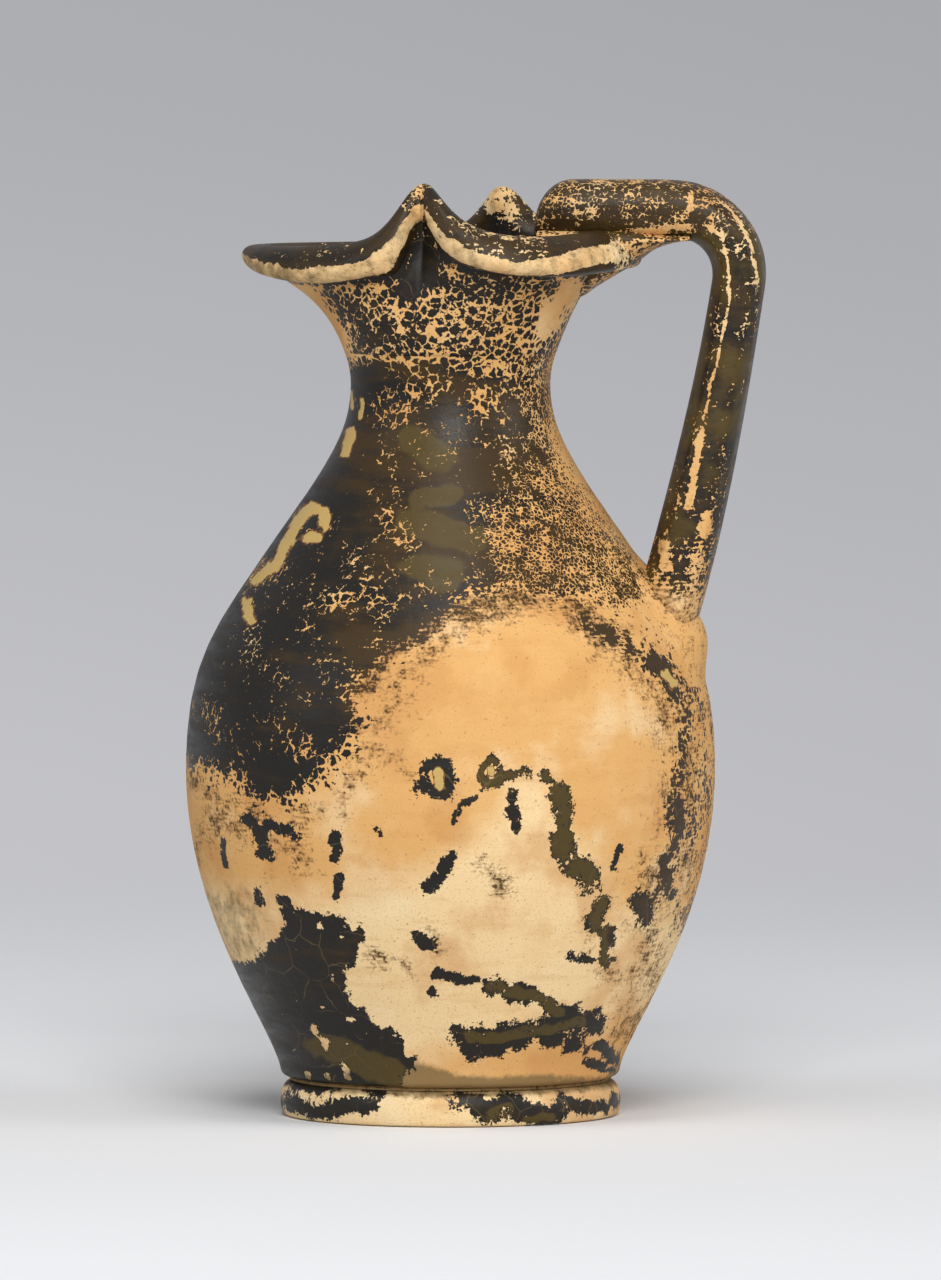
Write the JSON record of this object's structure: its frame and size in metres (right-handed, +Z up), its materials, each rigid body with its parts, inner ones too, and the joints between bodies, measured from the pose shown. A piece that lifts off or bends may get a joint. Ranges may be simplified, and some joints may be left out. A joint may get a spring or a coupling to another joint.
{
  "type": "oinochoe jug",
  "caption": "Clay wine jug with a trefoil pouring mouth, swelling belly, ring foot and a high strap handle from rear lip to shoulder.",
  "frame": {"origin": "on the vessel's axis at the plane the ring foot rests on", "axes": "+Z up along the vessel's axis, +X towards the handle, the spout points roughly to -X (18 degrees round from it, to the far +Y side)"},
  "size_m": [0.1445, 0.132, 0.2331],
  "materials": {
    "foot_clay": "pale fired clay with worn patches of dark slip",
    "slip_clay": "brown slip in the groove",
    "belly_gloss": "worn black gloss over orange to buff clay",
    "neck_gloss": "black gloss, crackled",
    "mouth_gloss": "black gloss, worn to the clay along the lip",
    "handle_gloss": "black gloss, worn to the clay along the ridges",
    "luting_clay": "smoothed clay with worn gloss"
  },
  "bodies": {
    "root": {"ring_foot": "foot_clay", "foot_luting": "slip_clay", "belly_wall": "belly_gloss", "neck_wall": "neck_gloss", "trefoil_mouth": "mouth_gloss", "handle": "handle_gloss", "handle_top_luting": "handle_gloss", "handle_root_luting": "luting_clay"}
  },
  "joints": []
}
